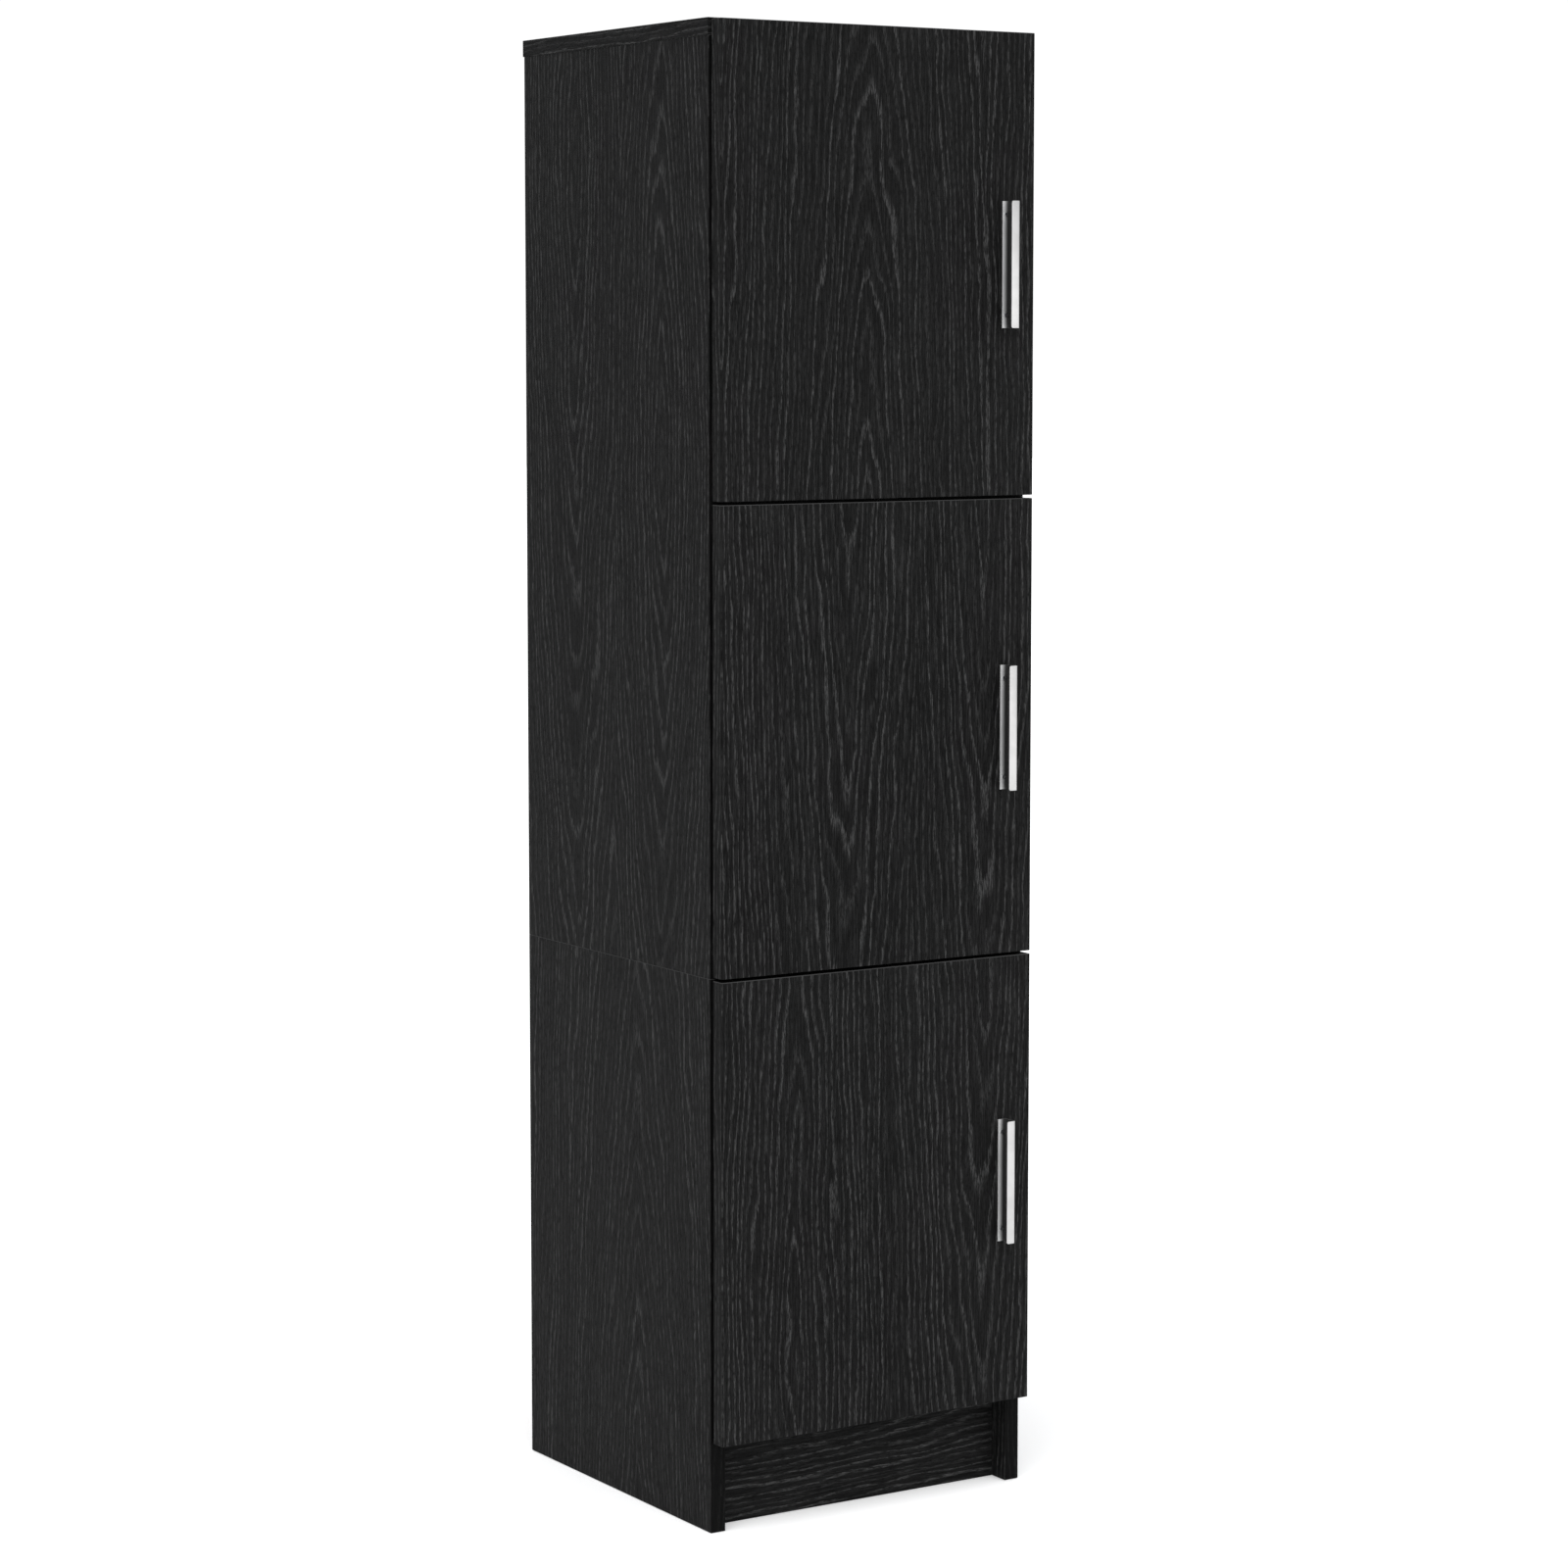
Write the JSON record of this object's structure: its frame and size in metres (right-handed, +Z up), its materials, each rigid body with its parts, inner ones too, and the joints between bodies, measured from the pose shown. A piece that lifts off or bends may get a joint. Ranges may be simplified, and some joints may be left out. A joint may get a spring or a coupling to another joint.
{
  "type": "pantry cabinet",
  "caption": "Tall narrow free-standing pantry cabinet with stacked hinged doors on concealed cup hinges, channel handles and a recessed plinth.",
  "frame": {"origin": "on the floor at the middle of the cabinet's bounding box", "axes": "+Z up, -Y towards the front where the doors are, +X to the right seen from the front"},
  "size_m": [0.359, 0.386, 1.42],
  "materials": {
    "black_oak_board": "black oak grain melamine, satin",
    "back_board": "thin hardboard, black lacquer on the front",
    "black_plastic": "extruded plastic, matt",
    "zinc_steel": "zinc plated steel",
    "hinge_steel": "nickel plated pressed steel",
    "zinc_casting": "zinc die casting, tumbled",
    "beech": "fluted beech dowel, raw",
    "satin_metal": "satin brushed, light silver",
    "clear_rubber": "translucent soft pad"
  },
  "bodies": {
    "carcass": {"top_panel": "black_oak_board", "left_side_lower": "black_oak_board", "left_side_upper": "black_oak_board", "right_side_lower": "black_oak_board", "right_side_upper": "black_oak_board", "bottom_panel": "black_oak_board", "lower_shelf": "black_oak_board", "upper_shelf": "black_oak_board", "front_plinth": "black_oak_board", "rear_plinth": "black_oak_board", "back_panel_lower": "back_board", "back_panel_upper": "back_board", "back_joining_strip": "black_plastic", "cam_bolts": "zinc_steel", "cam_housings": "zinc_casting", "dowels": "beech", "wall_bracket": "zinc_steel", "bracket_screws": "zinc_steel", "arm_rivets": "hinge_steel", "plate_screws": "zinc_steel", "arm_screws": "zinc_steel", "lower_hinge_arms": "hinge_steel", "lower_hinge_plates": "hinge_steel", "middle_hinge_arms": "hinge_steel", "middle_hinge_plates": "hinge_steel", "upper_hinge_arms": "hinge_steel", "upper_hinge_plates": "hinge_steel"},
    "lower_outer_links": {"lower_outer_links": "hinge_steel"},
    "lower_inner_links": {"lower_inner_links": "hinge_steel"},
    "lower_door": {"lower_door": "black_oak_board", "lower_handle": "satin_metal", "lower_handle_screws": "zinc_steel", "lower_hinge_cups": "hinge_steel", "lower_cup_rivets": "hinge_steel", "lower_cup_screws": "zinc_steel", "lower_bumpers": "clear_rubber"},
    "middle_outer_links": {"middle_outer_links": "hinge_steel"},
    "middle_inner_links": {"middle_inner_links": "hinge_steel"},
    "middle_door": {"middle_door": "black_oak_board", "middle_handle": "satin_metal", "middle_handle_screws": "zinc_steel", "middle_hinge_cups": "hinge_steel", "middle_cup_rivets": "hinge_steel", "middle_cup_screws": "zinc_steel", "middle_bumpers": "clear_rubber"},
    "upper_outer_links": {"upper_outer_links": "hinge_steel"},
    "upper_inner_links": {"upper_inner_links": "hinge_steel"},
    "upper_door": {"upper_door": "black_oak_board", "upper_handle": "satin_metal", "upper_handle_screws": "zinc_steel", "upper_hinge_cups": "hinge_steel", "upper_cup_rivets": "hinge_steel", "upper_cup_screws": "zinc_steel", "upper_bumpers": "clear_rubber"}
  },
  "joints": [
    {"name": "lower_outer_link_turn", "type": "hinge", "parent": "carcass", "child": "lower_outer_links", "pos_m": [-0.1518, -0.152, 0], "axis": [0, 0, 1], "range_deg": [0, 28.18]},
    {"name": "lower_door_swing", "type": "hinge", "parent": "lower_outer_links", "child": "lower_door", "pos_m": [-0.1692, -0.16399, 0], "axis": [0, 0, -1], "range_deg": [0, 118.17]},
    {"name": "lower_inner_link_turn", "type": "hinge", "parent": "carcass", "child": "lower_inner_links", "pos_m": [-0.1425, -0.1655, 0], "axis": [0, 0, 1], "range_deg": [0, 34.39]},
    {"name": "middle_outer_link_turn", "type": "hinge", "parent": "carcass", "child": "middle_outer_links", "pos_m": [-0.1518, -0.152, 0], "axis": [0, 0, 1], "range_deg": [0, 28.18]},
    {"name": "middle_door_swing", "type": "hinge", "parent": "middle_outer_links", "child": "middle_door", "pos_m": [-0.1692, -0.16399, 0], "axis": [0, 0, -1], "range_deg": [0, 118.17]},
    {"name": "middle_inner_link_turn", "type": "hinge", "parent": "carcass", "child": "middle_inner_links", "pos_m": [-0.1425, -0.1655, 0], "axis": [0, 0, 1], "range_deg": [0, 34.39]},
    {"name": "upper_outer_link_turn", "type": "hinge", "parent": "carcass", "child": "upper_outer_links", "pos_m": [-0.1518, -0.152, 0], "axis": [0, 0, 1], "range_deg": [0, 28.18]},
    {"name": "upper_door_swing", "type": "hinge", "parent": "upper_outer_links", "child": "upper_door", "pos_m": [-0.1692, -0.16399, 0], "axis": [0, 0, -1], "range_deg": [0, 118.17]},
    {"name": "upper_inner_link_turn", "type": "hinge", "parent": "carcass", "child": "upper_inner_links", "pos_m": [-0.1425, -0.1655, 0], "axis": [0, 0, 1], "range_deg": [0, 34.39]}
  ],
  "couplings": [
    {"joint": "lower_outer_link_turn", "follows": "lower_door_swing", "ratio": 0.23839},
    {"joint": "lower_inner_link_turn", "follows": "lower_door_swing", "ratio": 0.29094},
    {"joint": "middle_outer_link_turn", "follows": "middle_door_swing", "ratio": 0.23839},
    {"joint": "middle_inner_link_turn", "follows": "middle_door_swing", "ratio": 0.29094},
    {"joint": "upper_outer_link_turn", "follows": "upper_door_swing", "ratio": 0.23839},
    {"joint": "upper_inner_link_turn", "follows": "upper_door_swing", "ratio": 0.29094}
  ]
}
